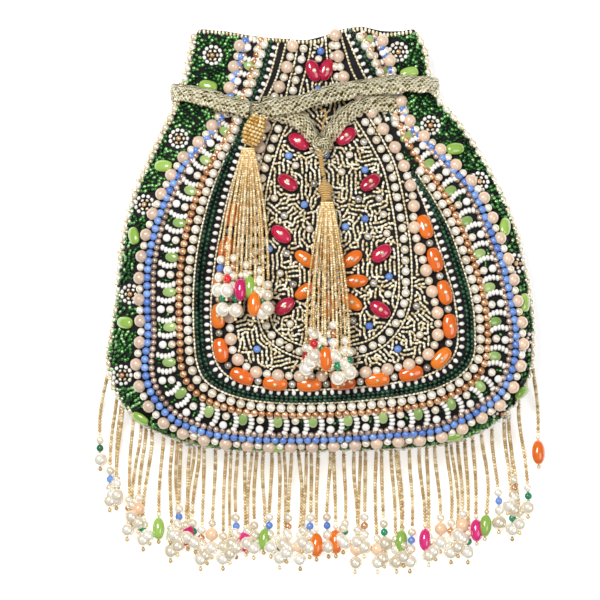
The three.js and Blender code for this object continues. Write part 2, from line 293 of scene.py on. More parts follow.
def ring_faces(rings, around, first=0):
    """Four-sided faces between rings of points, each ring joined round to its own start."""
    return [
        (a + s, a + (s + 1) % around, a + around + (s + 1) % around, a + around + s)
        for a in range(first, first + (rings - 1) * around, around) for s in range(around)
    ]


def store(piece, name, values):
    attribute = piece.data.attributes.new(name, "FLOAT", "POINT")
    attribute.data.foreach_set("value", np.asarray(values, np.float32))


def sweep(name, line, half_wide, half_thick, material, body, sides=20, across=(0, 1, 0), twist=0.0):
    """A tube along a line in the pouch's millimetres, its width turned towards across.

    With a twist, three soft ridges wind round it."""
    half_wide = np.broadcast_to(half_wide, len(line))
    half_thick = np.broadcast_to(half_thick, len(line))
    tangent = unit(np.gradient(line, axis=0))
    across = np.broadcast_to(np.array(across, float), line.shape)
    wide = unit(across - tangent * np.sum(tangent * across, axis=1, keepdims=True))
    deep = np.cross(tangent, wide)
    angle = np.linspace(0, 2 * np.pi, sides, endpoint=False)
    ridge = 1 + twist * np.cos(3 * angle[None] + lengths(line)[:, None] * 0.55)
    rows = (
        line[:, None]
        + wide[:, None] * (np.cos(angle) * ridge * half_wide[:, None])[:, :, None]
        + deep[:, None] * (np.sin(angle) * ridge * half_thick[:, None])[:, :, None]
    )
    count = len(line)
    faces = ring_faces(count, sides)
    faces += [tuple(reversed(range(sides))), tuple(range((count - 1) * sides, count * sides))]
    piece = new_object(name, to_frame(rows.reshape(-1, 3)), faces, material, body)
    store(piece, "along", np.repeat(lengths(line), sides))
    store(piece, "around", np.tile(np.abs(np.sin(angle / 2)) * half_wide.max() * 2, count))
    return piece


# %% The two braids
def braid(name, route, node):
    line = through(route, 24)
    line = at_lengths(line, np.arange(0, lengths(line)[-1], 1.0))
    slack = 1 + 0.07 * np.sin(lengths(line) / 4.3) + 0.05 * np.sin(lengths(line) / 1.9)
    half_wide, half_thick = BRAID_WIDTH / 2 * slack, BRAID_THICK / 2 / slack
    piece = sweep(name, line, half_wide, half_thick, braid_metal, "bag", 24, twist=0.07)
    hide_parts(node)
    real = lengths(line)[-1] * MM
    print(name, "is", round(real * 1000), "mm long")


braid("outer_braid", OUTER_ROUTE, "outer_drawstring")
braid("inner_braid", INNER_ROUTE, "inner_drawstring")

# %% [markdown]
# ## The shape of the pouch
# Everything sewn to the pouch needs to know how high its front stands at any place. The front
# swells from its seam like a cushion, and falls towards the gathered neck. The height follows the
# solid model: one where the belly is, nothing at the outline, with a full, boxy curve between.

# %% Outline and seams
RIGHT_EDGE = [
    (0, -67), (37.5, -66), (60.5, -63.5), (77.5, -57), (89.5, -47), (96.5, -34.5), (98.6, -18),
    (97.5, 0.5), (94.5, 17.5), (90.5, 33.5), (84.5, 49), (77.5, 63), (69, 77), (61.5, 86.5),
    (54.5, 95), (50.5, 106.5), (49, 116.5), (44, 126),
]
LEFT_EDGE = [
    (0, -67), (-47.5, -66), (-70.5, -60), (-84, -52.5), (-93, -40.5), (-96.5, -27), (-95, -14.5),
    (-92.5, 1.5), (-91, 17), (-88.5, 32.5), (-84.5, 48.5), (-78.5, 63), (-72.5, 76),
    (-65.5, 91.5), (-61.5, 105), (-59, 117), (-55, 126),
]
MOUTH = [(44, 126), (30, 124), (19, 126.6), (6, 124.4), (0, 121), (-16, 121.4), (-30, 122.6),
         (-43, 125), (-55, 126)]
BACK_MOUTH = [(44, 126), (30, 126), (19, 128), (5, 124.4), (-6, 121.8), (-16, 121.9), (-30, 123.2),
              (-43, 125.4), (-55, 126)]
BELLY = np.array([0, -10.0])
SEAM_Z, BELLY_RISE, NECK_RISE, NECK_LIFT = 15, 30, 15, 4.2
DOME_POWER, BACK_FULLNESS = 2.4, 1.35
PLEAT_HEIGHT, PLEAT_WIDTH = 1.6, 27
BEAD_ROOM = 2.8  # the cloth lies this far under the tops of the beads

right_edge, left_edge = through(RIGHT_EDGE), through(LEFT_EDGE)


def reach_table():
    """How far the outline is from the belly, by direction; the neck's sides run on upwards."""
    ends = [(line[-1, 0], y) for line in (right_edge, left_edge) for y in (145, 175, 220, 290, 400)]
    rim = np.vstack([right_edge, left_edge, ends]) - BELLY
    return np.arctan2(rim[:, 1], rim[:, 0]), np.hypot(*rim.T)


RIM_ANGLE, RIM_REACH = reach_table()


# %% Heights of the front and the back
def smooth_between(low, high, value):
    t = np.clip((value - low) / (high - low), 0, 1)
    return t * t * (3 - 2 * t)


def swelling(x, y):
    away = np.stack([x, y], -1) - BELLY
    angle = np.arctan2(away[..., 1], away[..., 0])
    reach = np.interp(angle, RIM_ANGLE, RIM_REACH, period=2 * np.pi)
    share = np.minimum(1, np.linalg.norm(away, axis=-1) / reach)
    return np.sqrt(np.maximum(0, 1 - share**DOME_POWER))


def front(x, y, under=0.0):
    """Height of the front, or of a layer that lies under it."""
    full = swelling(x, y)
    rise = BELLY_RISE + (NECK_RISE - BELLY_RISE) * smooth_between(20, 92, y)
    pleat = PLEAT_HEIGHT * smooth_between(72, 108, y) * np.cos(2 * np.pi * (x + 6) / PLEAT_WIDTH)
    return SEAM_Z + (rise - under) * full + pleat * full**2


def back(x, y, under=0.0):
    full = np.minimum(1, BACK_FULLNESS * swelling(x, y))
    return SEAM_Z - (SEAM_Z - NECK_LIFT * smooth_between(50, 82, y) - under) * full


def cloth(x, y):
    return front(x, y, BEAD_ROOM)


def lifted(points):
    """Points given by their height over the front."""
    return np.array([(x, y, front(x, y) + h) for x, y, h in points])


print("height over the belly, mm:", round(float(front(*BELLY)), 1))

# %% [markdown]
# ## Cloth
# Under the beads is black satin, and the back is the same satin left plain. The lining is a
# second pocket that shows only at the mouth. Each is a sheet whose rows spread from a line up the
# middle out to the outline, because rows that follow the outline keep the steep sides smooth.
# Solidify then gives the sheet the thickness of cloth.

# %% Satin
def satin(name, light, dark):
    f = Finish(name, Roughness=0.6, Specular_IOR_Level=0.25)
    thread = f.node("ShaderNodeTexWave", {"bands_direction": "DIAGONAL"},
                    {"Scale": 900.0, "Distortion": 1.5, "Detail": 1.0}, out=1)
    # Painted sheen and shade: this noise makes small folds lighter and darker in the colour, and bumps
    # them too.
    folds_and_sheen = f.node("ShaderNodeTexNoise", None, {"Scale": 55.0, "Detail": 3.0})
    f.drive("Base Color", f.ramp(thread * 0.25 + folds_and_sheen * 0.75, (0.3, dark), (0.75, light)))
    f.bump(thread * 0.3 + folds_and_sheen, 0.35, 0.0006)
    return f.material


black_satin = satin("black_satin", linear(24, 22, 23), linear(7, 6, 7))
lining_satin = satin("lining_satin", linear(96, 84, 50), linear(52, 44, 26))
print("satins:", black_satin.name, lining_satin.name)


# %% Sheets that follow the pouch
SHEET_RINGS, EDGE_STEPS, CLOTH_THICK = 22, 60, 0.7


def pouch_sheet(name, height, mouth, material, inset=0.0):
    sides = [evenly(e, EDGE_STEPS) for e in (right_edge, left_edge)]
    rim_mouth = evenly(through(mouth), 40)[1:-1]
    rim = np.vstack([sides[0], rim_mouth, sides[1][::-1][:-1]])
    middle_y = np.clip((sides[0][:, 1] + sides[1][:, 1]) / 2, BELLY[1], 100)
    middle_y = np.concatenate([middle_y, np.full(len(rim_mouth), 100), middle_y[::-1][:-1]])
    middle = np.column_stack([-5 * (middle_y - BELLY[1]) / 110, middle_y])
    outward = unit(rim - middle)
    rim = rim - outward * inset
    share = np.sin(np.linspace(0, 1, SHEET_RINGS) * np.pi / 2)[:, None, None]
    xy = (middle + (rim - middle) * share).reshape(-1, 2)
    z = height(xy[:, 0], xy[:, 1])
    n = len(rim)
    faces = [(f[0], *f[:0:-1]) for f in ring_faces(SHEET_RINGS, n)]  # turned over, to face upwards
    piece = new_object(name, to_frame(np.column_stack([xy, z])), faces, material, "bag")
    solid = piece.modifiers.new("cloth", "SOLIDIFY")
    solid.thickness = CLOTH_THICK * MM
    solid.offset = 0
    return piece


front_cloth = pouch_sheet("front_cloth", cloth, MOUTH, black_satin)
back_cloth = pouch_sheet("back_cloth", lambda x, y: back(x, y, 0.5), BACK_MOUTH, black_satin)
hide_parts("back_panel")
lining_front = pouch_sheet("lining_front", lambda x, y: front(x, y, 5.2), MOUTH, lining_satin, 4.5)
lining_back = pouch_sheet("lining_back", lambda x, y: back(x, y, 3.2), BACK_MOUTH, lining_satin, 4.5)
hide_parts("lining")
print("sheets:", front_cloth.name, back_cloth.name, lining_front.name, lining_back.name)

# %% [markdown]
# ## Beads
# Each kind of bead is one small turned shape, about its thread's axis. A place for a bead is a
# centre, three directions and a size, so setting down a thousand beads is one array operation.
# Beads of one kind in one part of the bag end up in one mesh, and each bead keeps a number of its
# own between 0 and 1, its tone, which its finish turns into small differences of colour.

# %% Turned shapes
def turned(profile, sides):
    """Points and faces of a profile [along, radius] turned about the thread, closed at both ends."""
    angle = np.linspace(0, 2 * np.pi, sides, endpoint=False)
    points = [(profile[0][0], 0, 0)]
    for along, radius in profile:
        points += [(along, radius * math.cos(a), radius * math.sin(a)) for a in angle]
    points.append((profile[-1][0], 0, 0))
    last, rings = len(points) - 1, len(profile)
    faces = [(0, 1 + (s + 1) % sides, 1 + s) for s in range(sides)]
    faces += ring_faces(rings, sides, 1)
    base = 1 + (rings - 1) * sides
    faces += [(last, base + s, base + (s + 1) % sides) for s in range(sides)]
    return np.array(points), faces


def ball(sides, rings, roundness=1.0):
    angle = np.linspace(0.14, np.pi - 0.14, rings)
    return turned([(-math.cos(a) / 2, math.sin(a) ** roundness / 2) for a in angle], sides)


SHAPES = {
    "pearl": ball(13, 8),
    "round": ball(11, 7),
    "seed": ball(7, 4, 0.6),
    "oval": ball(16, 9, 0.85),
    "barrel": ball(16, 9, 0.6),
}
print({name: len(shape[1]) for name, shape in SHAPES.items()}, "faces")

# %% Put beads down
piles = {}


def put(part, kind, centres, x_axes, z_axes, sizes):
    """Beads at centres, threaded along x_axes, with z_axes outwards. Sizes are millimetres."""
    centres = np.atleast_2d(np.asarray(centres, float))
    n = len(centres)
    if not n:
        return
    x_axes = unit(np.broadcast_to(x_axes, (n, 3)))
    z_axes = np.broadcast_to(z_axes, (n, 3))
    y_axes = unit(np.cross(z_axes, x_axes))
    z_axes = np.cross(x_axes, y_axes)
    frames = np.stack([x_axes, y_axes, z_axes], 1)
    sizes = np.broadcast_to(np.asarray(sizes, float), (n, 3))
    piles.setdefault((part, kind), []).append((centres, frames, sizes))


def normals(x, y):
    h = 0.6
    slope_x = (cloth(x + h, y) - cloth(x - h, y)) / (2 * h)
    slope_y = (cloth(x, y + h) - cloth(x, y - h)) / (2 * h)
    return unit(np.column_stack([-slope_x, -slope_y, np.ones(len(x))]))


CELL = 0.25
MAP_CORNER = np.array([-110.0, -80.0])
taken = np.zeros((900, 860), bool)  # a map of the front: which cells already have a bead
THREAD_ROOM = 0.55


def cells_of(xy):
    return ((xy - MAP_CORNER) / CELL).astype(int)


def mark(xy, radius):
    """Fill a disc of the map round each spot."""
    near = int(radius / CELL) + 1
    dx, dy = np.mgrid[-near:near + 1, -near:near + 1]
    disc = dx**2 + dy**2 <= (radius / CELL) ** 2
    for i, j in cells_of(xy):
        taken[i + dx[disc], j + dy[disc]] = True


def is_free(xy):
    i, j = cells_of(xy).T
    return ~taken[i, j]


mouth_line = through(MOUTH)[::-1]


def below_mouth(xy, margin=1.0):
    return xy[:, 1] < np.interp(xy[:, 0], *mouth_line.T) - margin


def sew(kind, xy, heading, size, lift=0.46, margin=1.4):
    """Beads on the front: heading is the way the thread runs as seen from above."""
    xy = np.atleast_2d(np.asarray(xy, float))
    heading = np.broadcast_to(heading, (len(xy), 2))
    keep = below_mouth(xy, margin)
    xy, heading = xy[keep], heading[keep]
    if not len(xy):
        return
    long, wide = max(size[:2]) / 2, min(size[:2]) / 2
    axis = heading if size[0] >= size[1] else left_of(heading)
    for reach in np.linspace(wide - long, long - wide, 3):
        mark(xy + axis * reach, wide + THREAD_ROOM)
    up = normals(*xy.T)
    ahead = np.column_stack([heading, np.zeros(len(xy))])
    ahead = unit(ahead - up * np.sum(ahead * up, axis=1, keepdims=True))
    size = np.broadcast_to(np.asarray(size, float), (len(xy), 3))
    centres = np.column_stack([xy, cloth(*xy.T)]) + up * size[:, 2:] * lift
    put("front", kind, centres, ahead, up, size)


# %% [markdown]
# ## The bands
# The front is sewn in arches, one inside the other. Four of them are guides, and each station
# below says where the seam edge, the outer pink arch, the dark rope and the inner pink arch are,
# going down the left side, along the bottom and up the right. All other bands lie between two
# guides, at a fixed share of the way.

# %% Guides
STATIONS = [
    ((-56.7, 127.5), (-32.7, 127.5), (-21, 127.5), (-8.7, 127.5)),
    ((-60.5, 107), (-38.5, 106.5), (-27, 104.5), (-15, 104.5)),
    ((-65.5, 91.5), (-42, 92.5), (-32, 90.5), (-21.5, 91.5)),
    ((-73, 76), (-51.5, 77), (-36, 77), (-25, 78)),
    ((-79, 63), (-63, 64.5), (-42, 63), (-28.5, 63)),
    ((-85, 48.5), (-71.5, 49), (-47, 49), (-31.5, 49)),
    ((-89, 32.5), (-77.5, 32.5), (-51, 32.5), (-34.5, 32.5)),
    ((-91.5, 17), (-80.5, 17), (-53.5, 17), (-37.5, 17)),
    ((-92.5, 1.5), (-81, 0.5), (-54.5, 0.5), (-40, 1.5)),
    ((-95, -14.5), (-80.5, -15), (-54, -17), (-40, -14.5)),
    ((-96.5, -27), (-82.5, -29), (-52.5, -27), (-38.5, -23)),
    ((-93, -40.5), (-79.5, -42), (-49.5, -33.5), (-34.5, -27.5)),
    ((-84, -52.5), (-70.5, -53.5), (-43, -38), (-29, -31)),
    ((-70.5, -60), (-54.5, -60.5), (-30.5, -42), (-19.5, -32.5)),
    ((-47.5, -66), (-34, -63.5), (-15, -43.5), (-8.5, -33)),
    ((0, -67), (0.5, -64), (0.5, -43.5), (4.5, -32.5)),
    ((37.5, -66), (33, -62), (23, -42), (19, -31.5)),
    ((60.5, -63.5), (57, -59.5), (44, -39), (31, -30)),
    ((77.5, -57), (71, -53), (56, -35.5), (40.5, -28)),
    ((89.5, -47), (82.5, -45.5), (64.5, -30), (49, -24)),
    ((96.5, -34.5), (89.5, -34.5), (68.5, -23.5), (53.5, -17)),
    ((98.6, -18), (92.5, -17), (69, -12.5), (54, -5.5)),
    ((97.5, 0.5), (90, 0.5), (67.5, 2.5), (52, 3)),
    ((94.5, 17.5), (86.5, 17), (63, 18), (47.5, 19)),
    ((90.5, 33.5), (80.5, 33.5), (57.5, 33.5), (43.5, 33.5)),
    ((84.5, 49), (74, 49.5), (50, 47.5), (43, 47.5)),
    ((77.5, 63), (64.5, 60.5), (43.5, 58), (40.5, 57.5)),
    ((69, 77), (54.5, 71), (38.5, 66.5), (37, 66.5)),
    ((61.5, 86.5), (43, 81), (35, 78.5), (30, 78.5)),
    ((54.5, 95), (37.5, 93.5), (31, 93.5), (21, 91.5)),
    ((50.5, 106.5), (34, 106), (25.5, 106.5), (11.5, 105)),
    ((49, 116.5), (30, 116.5), (20, 116.5), (9, 115.5)),
    ((43, 128.5), (25, 128.5), (13.5, 128.5), (6.6, 128.5)),
]
guides = np.array(STATIONS, float)
edge, outer_arch, rope_arch, inner_arch = (through(guides[:, k]) for k in range(4))
FOLD = (26.2, 28.3)  # between these stations a pleat hides the bands next to the rope
station = np.linspace(0, len(STATIONS) - 1, len(edge))


def between(a, b, share):
    return a + (b - a) * share


def beside(path, offset):
    return path + left_of(unit(np.gradient(path, axis=0))) * offset


def walk(path, pitch, start=0.0, hide=None):
    """Even spots along a band on the swollen front, and the way the band runs at each."""
    solid = np.column_stack([path, cloth(*path.T)])
    along = lengths(solid)
    where = np.arange(start, along[-1], pitch)
    spots = at_lengths(path, where, along)
    ahead = at_lengths(path, where + 0.4, along) - at_lengths(path, where - 0.4, along)
    keep = np.ones(len(where), bool)
    if hide:
        at = np.interp(where, along, np.linspace(0, len(STATIONS) - 1, len(path)))
        keep = (at < hide[0]) | (at > hide[1])
    return spots[keep], unit(ahead)[keep]


print("outer arch, mm:", round(lengths(outer_arch)[-1]))

# %% [markdown]
# ## Finishes of the beads
# A pearl is a soft shine over ivory with a clear coat. A foiled or metallic seed is a coloured
# metal whose neighbours differ in brightness at random, and the lightest of them are painted
# glints, which make a row glitter. Glass and stone beads are a strong colour, darker in some beads
# than others, under a smooth coat.

# %% Bead finishes
def bead_finish(name, constants, mottle, *colours):
    """Colours from the darkest to the lightest bead of this kind."""
    f = Finish(name, **constants)
    tone = f.stored("tone")
    if mottle:  # clouds inside the stone
        cloud = f.node("ShaderNodeTexNoise", None, {"Scale": 420.0, "Detail": 3.0})
        tone = tone * (1 - mottle) + cloud * mottle
    places = np.linspace(0.0, 1.0, len(colours))
    f.drive("Base Color", f.ramp(tone, *[(p, linear(*c)) for p, c in zip(places, colours)]))
    return f.material


PEARLY = {"Metallic": 0.35, "Roughness": 0.2, "Coat_Weight": 1.0, "Coat_Roughness": 0.03}
GLASSY = {"Roughness": 0.12, "Coat_Weight": 0.6, "Coat_Roughness": 0.03}
CLEARISH = {"Roughness": 0.15, "Transmission_Weight": 0.12, "Coat_Weight": 1.0, "Coat_Roughness": 0.04}


def metal(strength, roughness=0.18):
    return {"Metallic": strength, "Roughness": roughness}


LOOKS = {  # name, constants, mottle and colours of each kind of bead
    "pearl": ("ivory_pearl", PEARLY, 0, (230, 216, 190), (248, 238, 218), (255, 250, 238)),
    "white": ("white_seed", GLASSY, 0, (232, 228, 220), (250, 248, 244)),
    "quartz": ("pink_quartz", CLEARISH, 0.3, (196, 172, 152), (232, 202, 176), (255, 218, 182)),
    "blue": ("blue_bead", GLASSY, 0, (76, 116, 196), (128, 168, 232)),
    "rose_gold": ("rose_gold", metal(0.55), 0, (160, 136, 120), (226, 200, 182)),
    "copper": ("copper_bead", metal(0.65), 0, (196, 140, 98), (246, 202, 160)),
    # In the metallic seeds from gold to green, the lightest colour is a painted glint.
    "gold": ("gold_seed", metal(0.3), 0, (204, 184, 140), (242, 230, 196), (255, 250, 232)),
    "strand": ("strand_seed", metal(0.25, 0.2), 0, (182, 152, 98), (212, 184, 132), (246, 232, 196)),
    "tassel": ("tassel_seed", metal(0.3), 0, (206, 168, 104), (232, 204, 148), (254, 242, 208)),
    "honey": ("honey_seed", metal(0.35, 0.2), 0, (196, 150, 74), (226, 184, 108), (252, 228, 172)),
    "green": ("green_metallic", metal(0.6, 0.16), 0, (10, 44, 14), (26, 82, 32), (70, 140, 64),
              (160, 215, 140)),
    "rope": ("dark_green_glass", metal(0.1, 0.16), 0, (8, 30, 18), (18, 52, 34), (44, 84, 60)),
    "lime": ("lime_glass", CLEARISH, 0.4, (128, 172, 58), (176, 212, 104)),
    "leaf": ("leaf_green", CLEARISH, 0.3, (122, 160, 74), (182, 208, 130)),
    "ruby": ("ruby_glass", CLEARISH, 0.4, (160, 8, 44), (214, 20, 76)),
    "orange": ("orange_glass", CLEARISH, 0.5, (224, 84, 4), (250, 140, 26)),
    "magenta": ("magenta_glass", CLEARISH, 0, (200, 14, 96), (234, 44, 134)),
    "clear": ("clear_glass", metal(0.6, 0.1), 0, (150, 146, 134), (232, 228, 216)),
    "emerald": ("emerald_glass", GLASSY, 0, (0, 92, 60), (8, 146, 98)),
    "red": ("red_glass", GLASSY, 0, (184, 8, 18), (226, 26, 32)),
    "peach": ("peach_glass", GLASSY, 0.3, (236, 190, 150), (250, 216, 182)),
}
FINISHES = {kind: bead_finish(*look) for kind, look in LOOKS.items()}
print(len(FINISHES), "bead finishes")

# %% [markdown]
# ## Arches of beads
# Working from the edge inwards: pearls on the seam, pink quartz alternating with pearls, blue
# beads, rose gold, a wide band of little loops, copper, pearls, the dark rope of cut glass between
# two gold lines, white cut beads, orange ovals, and pink quartz with pearls again.

# %% Rows of one bead
def row(kind, shape, path, size, pitch, hide=None, start=0.0, turned_across=False):
    xy, ahead = walk(path, pitch, start, hide)
    if turned_across:
        ahead = left_of(ahead)
    sew((kind, shape), xy, ahead, size)


def pair_row(path, big, small):
    """Quartz beads alternating with pearls."""
    pitch = (big + small) * 1.02
    row("quartz", "round", path, (big, big, big * 0.92), pitch)
    row("pearl", "pearl", path, (small,) * 3, pitch, start=pitch / 2)


def outer_to_rope(share):
    return between(outer_arch, rope_arch, share)


def rope_to_inner(share):
    return between(rope_arch, inner_arch, share)


GOLD_LINE, GOLD_PITCH = (1.9, 1.2, 1.3), 1.8
ROPE_SEED, ROPE_PITCH = (2.3, 2.1, 2.4), 2.2
pair_row(outer_arch, 5.9, 3.8)
pair_row(inner_arch, 5.9, 3.9)
row("blue", "round", outer_to_rope(0.118), (3.6, 3.8, 3.5), 3.75)
row("rose_gold", "round", outer_to_rope(0.215), (2.8, 3.1, 2.9), 2.9)
row("copper", "round", outer_to_rope(0.665), (3.4, 3.7, 3.4), 3.5)
row("pearl", "pearl", outer_to_rope(0.812), (4.2, 4.2, 4.1), 4.6, FOLD)
row("gold", "seed", outer_to_rope(0.9), GOLD_LINE, GOLD_PITCH, FOLD)
row("rope", "seed", outer_to_rope(0.965), ROPE_SEED, ROPE_PITCH, FOLD)
row("rope", "seed", rope_to_inner(0.075), ROPE_SEED, ROPE_PITCH, FOLD, start=ROPE_PITCH / 2)
row("white", "seed", rope_to_inner(0.25), (2.6, 2.1, 2.0), 3.5, FOLD, turned_across=True)
row("gold", "seed", rope_to_inner(0.38), GOLD_LINE, GOLD_PITCH, FOLD)
print("rows sewn:", len(piles))

# %% Loops of seeds between rose gold and copper
LOOP_PITCH = 16.1
loops, loop_ways = walk(outer_to_rope(0.44), LOOP_PITCH, 3.0)
loop_sides = left_of(loop_ways)
sew(("leaf", "oval"), loops + loop_sides * 1.4, loop_sides, (6.6, 4.6, 2.6))
for step in (-2, -1, 0, 1, 2):
    across = loop_sides * step * 1.7
    for place in (-3.6, 3.3):
        ahead = loop_ways * (place + 0.9 * (1 - step**2 / 4))
        sew(("white", "seed"), loops + across + ahead, loop_sides, (1.9, 3.1, 2.8))
for kind, side in (("white", -1), ("pearl", 1)):
    sew((kind, "round"), loops + loop_ways * LOOP_PITCH / 2 + loop_sides * side * 2.1, loop_ways,
        (3.7, 3.9, 3.5))
print(len(loops), "loops")

# %% Orange ovals along the lower arch
OVAL_STATIONS = (5.5, 24.12)
OVAL_COUNT = 16
oval_path = rope_to_inner(0.64)[(station > OVAL_STATIONS[0]) & (station < OVAL_STATIONS[1])]
oval_length = lengths(np.column_stack([oval_path, cloth(*oval_path.T)]))[-1]
oval_pitch = oval_length / (OVAL_COUNT - 0.999)  # not quite 1, so that the last oval still fits
ovals, oval_ways = walk(oval_path, oval_pitch)
sew(("orange", "barrel"), ovals, oval_ways, (11.4, 7.0, 4.6))
sew(("gold", "seed"), ovals, oval_ways, (1.8, 1.8, 1.8), lift=2.5)
between_ovals, gap_ways = walk(oval_path, oval_pitch, oval_pitch / 2)
sew(("clear", "round"), between_ovals, gap_ways, (3.6, 3.6, 3.4))
upper_path = rope_to_inner(0.68)
for above_ovals in (station < OVAL_STATIONS[0], station > FOLD[1] + 0.1):
    row("gold", "seed", upper_path[above_ovals], (1.5, 1.3, 1.3), 1.55)
print(len(ovals), "orange ovals")

# %% [markdown]
# ## The middle field
# Inside the inner pink arch runs an arch of pearls between two gold lines, and the rest is filled
# with gold thread-like lines of seeds that wander without crossing. Such a pattern is the set of
# ridges of a sum of waves that all have the same length but go every way: points are slid onto
# the nearest ridge, and a bead is kept where it has room.

# %% Arch of pearls
PEARL_ARCH = [
    (5.6, 128), (7, 111), (10, 100.5), (15.5, 91.5), (22, 81.5), (27.5, 72), (32, 63), (35.5, 49),
    (38.5, 30.5), (39.5, 15), (39, 0.5), (35.5, -8.5), (29.5, -16), (23, -20), (12, -22.5),
    (0.5, -24), (-8.5, -22), (-16.5, -18.5), (-22.5, -13), (-26, -1), (-28.5, 15), (-28.5, 33.5),
    (-26.5, 52), (-23, 66), (-19, 78), (-13, 90.5), (-10.5, 100.5), (-7.5, 112), (-5.4, 128),
]
pearl_arch = through(PEARL_ARCH)
row("pearl", "pearl", pearl_arch, (3.9, 3.9, 3.9), 4.9)
for offset in (-2.9, 2.9):
    row("gold", "seed", beside(pearl_arch, offset), GOLD_LINE, GOLD_PITCH)
print("arch of pearls, mm:", round(lengths(pearl_arch)[-1]))

# %% Crests of a sum of waves
def ripples(spacing, count=32):
    """Waves of one length that run every way, and how to slide spots onto their crests."""
    turn, phase = dice.uniform(0, 2 * np.pi, (2, count))
    waves = np.column_stack([np.cos(turn), np.sin(turn)]) * 2 * np.pi / spacing

    def slide(p, rounds=2):
        for _ in range(rounds):
            angle = p @ waves.T + phase
            slope = -np.sin(angle) @ waves
            xx, xy, yy = (
                -np.cos(angle) @ (waves[:, i] * waves[:, j]) for i, j in ((0, 0), (0, 1), (1, 1)))
            lowest = (xx + yy) / 2 - np.sqrt(((xx - yy) / 2) ** 2 + xy**2)
            steepest = unit(np.column_stack([xy, lowest - xx]) + 1e-9)
            move = -np.sum(slope * steepest, axis=1) / np.minimum(lowest, -1e-3)
            p = p + steepest * np.clip(move, -0.35, 0.35)[:, None]
        return p, left_of(steepest), np.abs(move)

    return slide


LONGEST_LINE = 60  # beads


def follow(slide, start, way, step, is_open):
    """Walk along a crest in even steps until it ends or the ground is taken."""
    line = [start]
    while len(line) < LONGEST_LINE:
        spots, ways, off = slide((line[-1] + way * step)[None])
        spot, ahead = spots[0], ways[0] * (1 if ways[0] @ way > 0 else -1)
        closest = np.linalg.norm(np.array(line) - spot, axis=1).min()
        if off[0] > 0.3 or ahead @ way < 0.5 or closest < step * 0.7 or not is_open(spot):
            break
        line.append(spot)
        way = ahead
    return line


def within(points, rim):
    """Which points lie inside a closed line."""
    inside = np.zeros(len(points), bool)
    for (x1, y1), (x2, y2) in zip(rim, np.roll(rim, -1, axis=0)):
        crosses = (y1 > points[:, 1]) != (y2 > points[:, 1])
        at = x1 + (points[:, 1] - y1) * (x2 - x1) / (y2 - y1 if y2 != y1 else 1e-9)
        inside ^= crosses & (points[:, 0] < at)
    return inside


def scribble(rim, spacing, step, room, shortest=2):
    """Spots along wandering lines that fill what is still free inside a closed line."""
    box = cells_of(np.array([rim.min(0), rim.max(0)]))
    i, j = (np.arange(first, last) for first, last in box.T)
    cells = np.stack(np.meshgrid(i, j, indexing="ij"), -1).reshape(-1, 2)
    ground = np.zeros_like(taken)
    places = (cells + 0.5) * CELL + MAP_CORNER
    ground[tuple(cells.T)] = within(places, rim[::3]) & below_mouth(places, 1.6)

    def is_open(spot):
        cell = tuple(cells_of(spot))
        return ground[cell] and not taken[cell]

    slide = ripples(spacing)
    starts = dice.permutation(places[ground[tuple(cells.T)] & is_free(places)])[::6]
    starts, ways, off = slide(starts, 5)
    lines = []
    for start, way, error in zip(starts, ways, off):
        if error < 0.2 and is_open(start):
            one = follow(slide, start, way, step, is_open)
            other = follow(slide, start, -way, step, is_open)
            line = np.array(one[:0:-1] + other)
            if len(line) >= shortest:
                mark(line, room)
                runs = np.gradient(line, axis=0) if len(line) > 1 else way[None]
                lines.append((line, unit(runs)))
    return (np.vstack(part) for part in zip(*lines))


# %% [markdown]
# ## Stones of the middle
# Rubies, orange petals round a flower, and small blue, pearl and clear beads are sewn first, and
# the gold lines leave room for them.

# %% Stones
RUBIES = [
    (-2.9, 106.5, -68), (2.9, 107, 68), (-9, 73.5, -35), (12.5, 76, 40), (-14, 54.5, -40),
    (23.5, 54.5, 40), (-17, 31, -40), (28.5, 22.5, 40), (-15.5, -1.5, 35), (28, -3, -35),
]
PETALS = [
    (-6, 20, -35), (-6, 5.5, 35), (15, 20, 35), (17, 10, 5), (15, 0.5, -35), (4.5, 23.5, 90),
    (4.5, -1.5, 90),
]
SMALL = {
    "blue": [(0.5, 115.5), (-0.5, 98), (-13.5, 67), (3.5, 67.5), (-6.5, 44.5), (21, 60.5),
             (21, 38), (12, 34.5), (-22.5, 24.5), (32, 12), (23, -10.5), (-28, -21), (36, -21)],
    "pearl": [(-0.5, 112), (-10.5, 62.5), (-20, 47.5), (-4, 33.5), (14, 67.5), (10.5, 59.5),
              (29.5, 40), (31, 31.5), (31.5, 4), (-17.5, 13.5), (-13, -9.5), (46, -14.5)],
    "clear": [(-2, 54), (-15.5, 39.5), (20.5, 73.5), (18, 47), (27.5, 47.5), (-14.5, 22.5),
              (-11.5, 8.5), (22.5, 30), (25, 9), (15.5, -8), (44.5, -1.5), (4.5, 11)],
}


def way_of(angle):
    return (math.cos(angle), math.sin(angle))


for kind, size, stones in (("ruby", (10.6, 6.7, 4.6), RUBIES), ("orange", (11, 6.2, 4.2), PETALS)):
    for x, y, tilt in stones:
        way = way_of(math.radians(tilt))
        sew((kind, "oval"), (x, y), way, size)
        sew(("gold", "round"), (x, y), way, (2.0, 2.0, 1.9), lift=2.25)
for kind, places in SMALL.items():
    sew((kind, "round"), places, (1, 0), (3.5, 3.5, 3.4))
print(len(RUBIES) + len(PETALS), "large stones")

# %% Gold lines round them
for shortest in (3, 1):  # long lines first, and then short ones where they left room
    gold_spots, gold_ways = scribble(inner_arch, 2.05, 1.65, 1.05, shortest)
    sew(("gold", "seed"), gold_spots, gold_ways, (1.9, 1.3, 1.35))
    print(len(gold_spots), "gold seeds in the middle, in lines of at least", shortest)

# %% [markdown]
# ## The green border
# Between the outer pink arch and the seam the cloth is covered in dark-green metallic seeds, with
# small white flowers and lime-green ovals at even distances, and pearls whipped over the seam.

